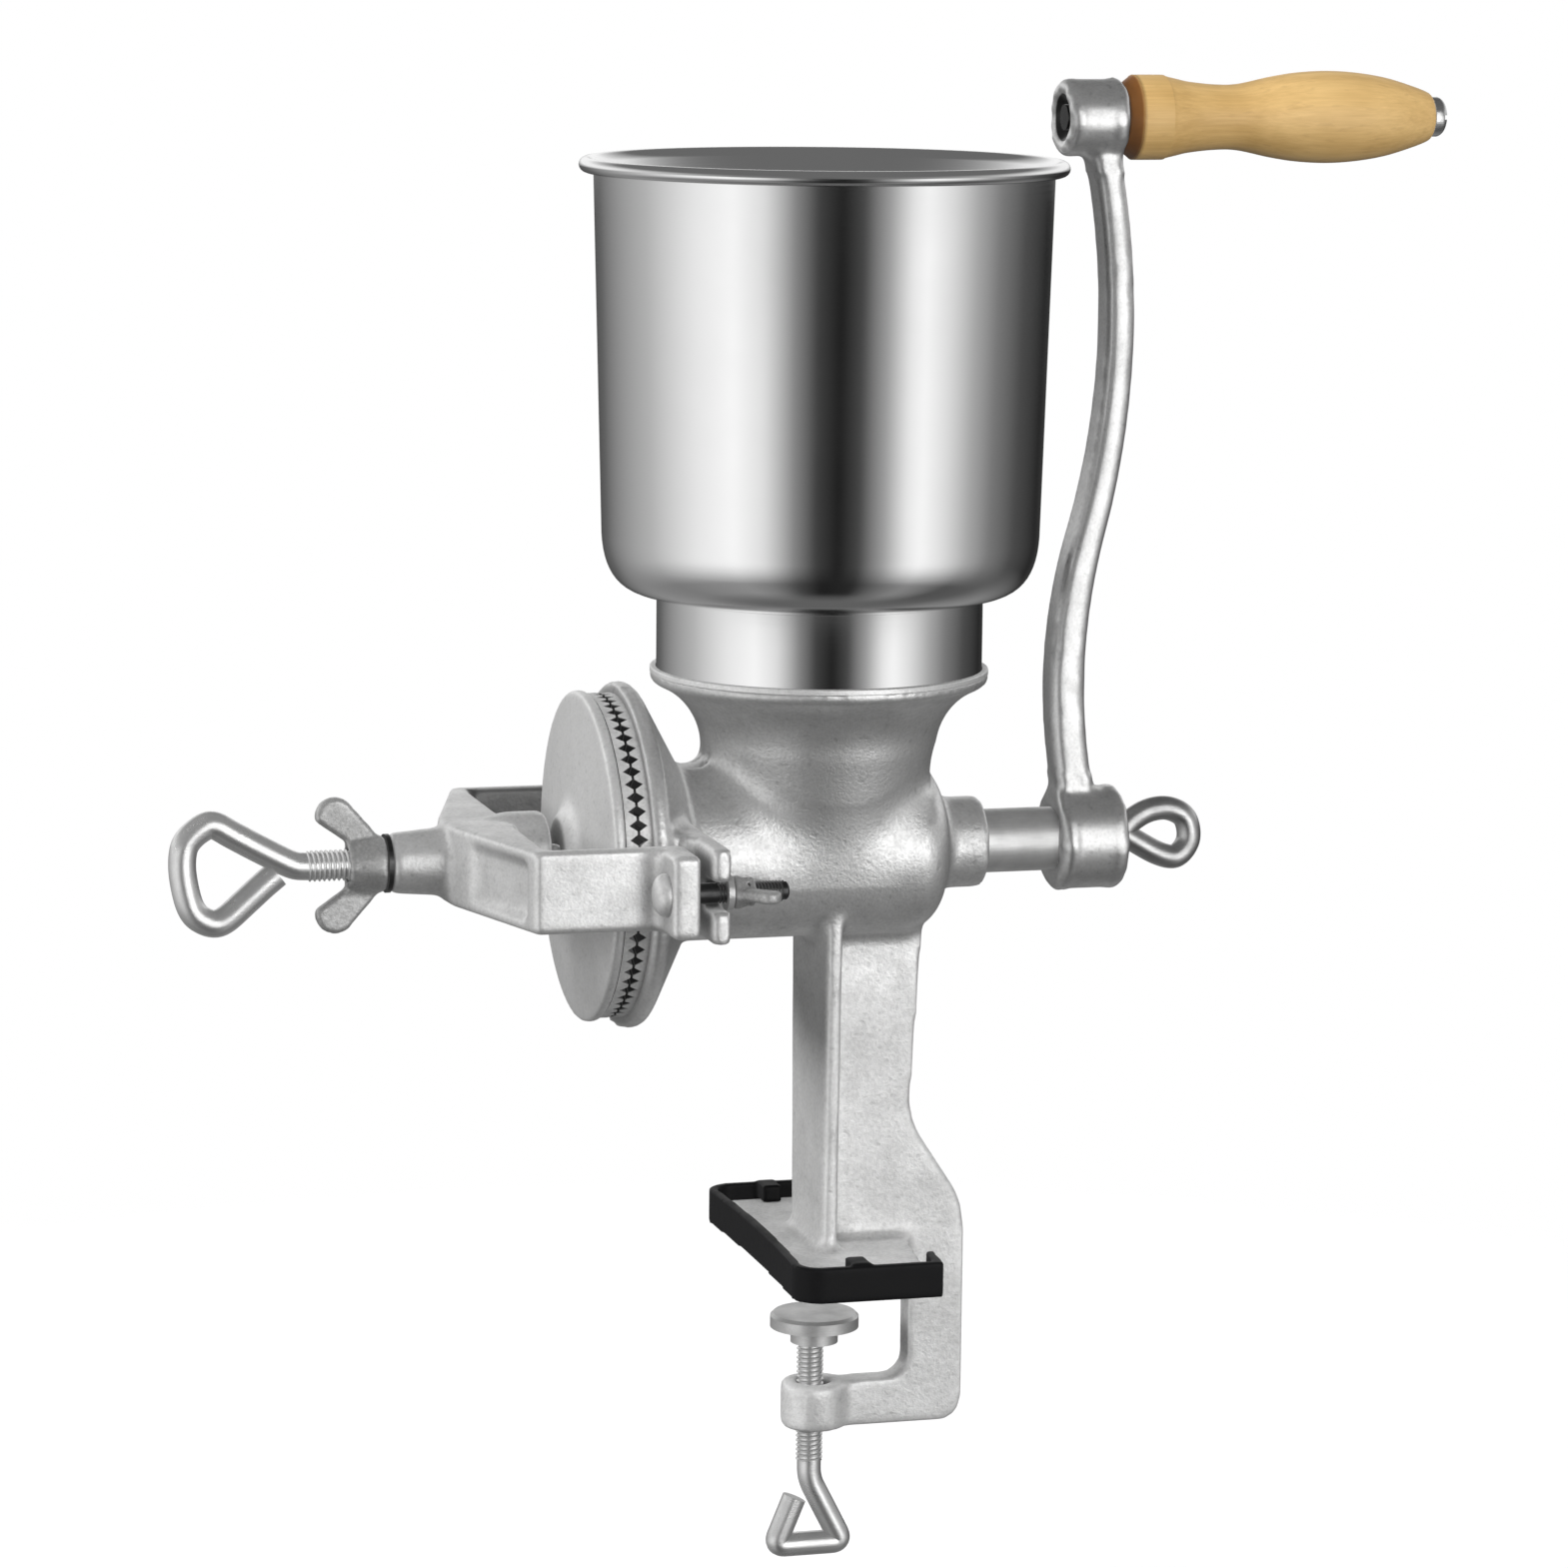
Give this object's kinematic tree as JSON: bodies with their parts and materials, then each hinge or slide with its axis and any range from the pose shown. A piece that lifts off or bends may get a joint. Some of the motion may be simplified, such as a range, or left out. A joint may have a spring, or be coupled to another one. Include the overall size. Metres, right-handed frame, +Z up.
{
  "type": "grain mill",
  "caption": "Hand-crank grain mill of tinned cast iron with a stainless hopper, adjustable burrs, a wooden grip and a table clamp.",
  "frame": {"origin": "on the axis of the hopper, at the underside of the rubber boot, where the table top is", "axes": "+X along the crank axis towards the crank, +Z up along the hopper's axis, +Y to the rear"},
  "size_m": [0.404, 0.1664, 0.468],
  "materials": {
    "tinned_casting": "satin",
    "bright_casting": "satin",
    "burr_iron": "satin",
    "stainless_sheet": "polished",
    "bright_steel": "satin",
    "dark_steel": "satin",
    "black_rubber": "matte",
    "beech": "satin"
  },
  "bodies": {
    "mill_frame": {"mill_body": "tinned_casting", "foot_boot": "black_rubber", "stationary_burr": "burr_iron", "stationary_burr_screws": "dark_steel", "yoke": "tinned_casting", "front_draw_bolt": "dark_steel", "rear_draw_bolt": "dark_steel"},
    "hopper": {"hopper_bowl": "stainless_sheet", "hopper_collar": "stainless_sheet"},
    "crank": {"feed_screw": "bright_steel", "drive_pin": "bright_steel", "crank_arm": "bright_casting", "grip_spindle": "dark_steel"},
    "grip": {"grip": "beech"},
    "crank_eye_screw": {"crank_eye_screw": "bright_steel"},
    "grinding_disc": {"rotating_disc": "tinned_casting", "rotating_burr": "burr_iron", "rotating_burr_screws": "dark_steel"},
    "thrust_ball": {"thrust_ball": "bright_steel"},
    "adjusting_screw": {"adjusting_screw": "bright_steel"},
    "lock_washer": {"lock_washer": "dark_steel"},
    "lock_wing_nut": {"lock_wing_nut": "tinned_casting"},
    "front_draw_washer": {"front_draw_washer": "bright_steel"},
    "front_wing_nut": {"front_wing_nut": "tinned_casting"},
    "rear_draw_washer": {"rear_draw_washer": "bright_steel"},
    "rear_wing_nut": {"rear_wing_nut": "tinned_casting"},
    "clamp_pad": {"clamp_pad": "bright_steel"},
    "clamp_screw": {"clamp_screw": "bright_steel"}
  },
  "joints": [
    {"name": "hopper_lift", "type": "slide", "parent": "mill_frame", "child": "hopper", "axis": [0, 0, 1], "range_m": [0, 0.06]},
    {"name": "crank_spin", "type": "hinge", "parent": "mill_frame", "child": "crank", "pos_m": [0, 0, 0.131], "axis": [1, 0, 0], "continuous": true},
    {"name": "grip_spin", "type": "hinge", "parent": "crank", "child": "grip", "pos_m": [0, 0, 0.3565], "axis": [1, 0, 0], "continuous": true},
    {"name": "crank_eye_turn", "type": "hinge", "parent": "crank", "child": "crank_eye_screw", "pos_m": [0, 0, 0.131], "axis": [1, 0, 0], "range_deg": [0, 720]},
    {"name": "disc_travel", "type": "slide", "parent": "crank", "child": "grinding_disc", "axis": [1, 0, 0], "range_m": [-0.0031, 0.0001]},
    {"name": "ball_travel", "type": "slide", "parent": "mill_frame", "child": "thrust_ball", "axis": [1, 0, 0], "range_m": [-0.003, 0]},
    {"name": "adjust_turn", "type": "hinge", "parent": "thrust_ball", "child": "adjusting_screw", "pos_m": [0, 0, 0.131], "axis": [1, 0, 0], "range_deg": [-720.5, 0.5]},
    {"name": "lock_washer_travel", "type": "slide", "parent": "adjusting_screw", "child": "lock_washer", "axis": [1, 0, 0], "range_m": [-0.003, 0]},
    {"name": "lock_nut_turn", "type": "hinge", "parent": "lock_washer", "child": "lock_wing_nut", "pos_m": [0, 0, 0.131], "axis": [1, 0, 0], "range_deg": [-720.5, 0.5]},
    {"name": "front_washer_travel", "type": "slide", "parent": "mill_frame", "child": "front_draw_washer", "axis": [1, 0, 0], "range_m": [0, 0.003]},
    {"name": "front_nut_turn", "type": "hinge", "parent": "front_draw_washer", "child": "front_wing_nut", "pos_m": [0, -0.0695, 0.131], "axis": [1, 0, 0], "range_deg": [-0.5, 1080.5]},
    {"name": "rear_washer_travel", "type": "slide", "parent": "mill_frame", "child": "rear_draw_washer", "axis": [1, 0, 0], "range_m": [0, 0.003]},
    {"name": "rear_nut_turn", "type": "hinge", "parent": "rear_draw_washer", "child": "rear_wing_nut", "pos_m": [0, 0.0695, 0.131], "axis": [1, 0, 0], "range_deg": [-0.5, 1080.5]},
    {"name": "pad_travel", "type": "slide", "parent": "mill_frame", "child": "clamp_pad", "axis": [0, 0, 1], "range_m": [-0.012, 0.015]},
    {"name": "clamp_turn", "type": "hinge", "parent": "clamp_pad", "child": "clamp_screw", "pos_m": [0.001, 0, 0], "axis": [0, 0, 1], "range_deg": [-2880.5, 3600.5]}
  ],
  "couplings": [
    {"joint": "adjust_turn", "follows": "ball_travel", "rad_per_m": 4188.8},
    {"joint": "disc_travel", "follows": "ball_travel", "ratio": 1},
    {"joint": "lock_nut_turn", "follows": "lock_washer_travel", "rad_per_m": 4188.8},
    {"joint": "front_nut_turn", "follows": "front_washer_travel", "rad_per_m": 6283.2},
    {"joint": "rear_nut_turn", "follows": "rear_washer_travel", "rad_per_m": 6283.2},
    {"joint": "clamp_turn", "follows": "pad_travel", "rad_per_m": 4188.8}
  ]
}
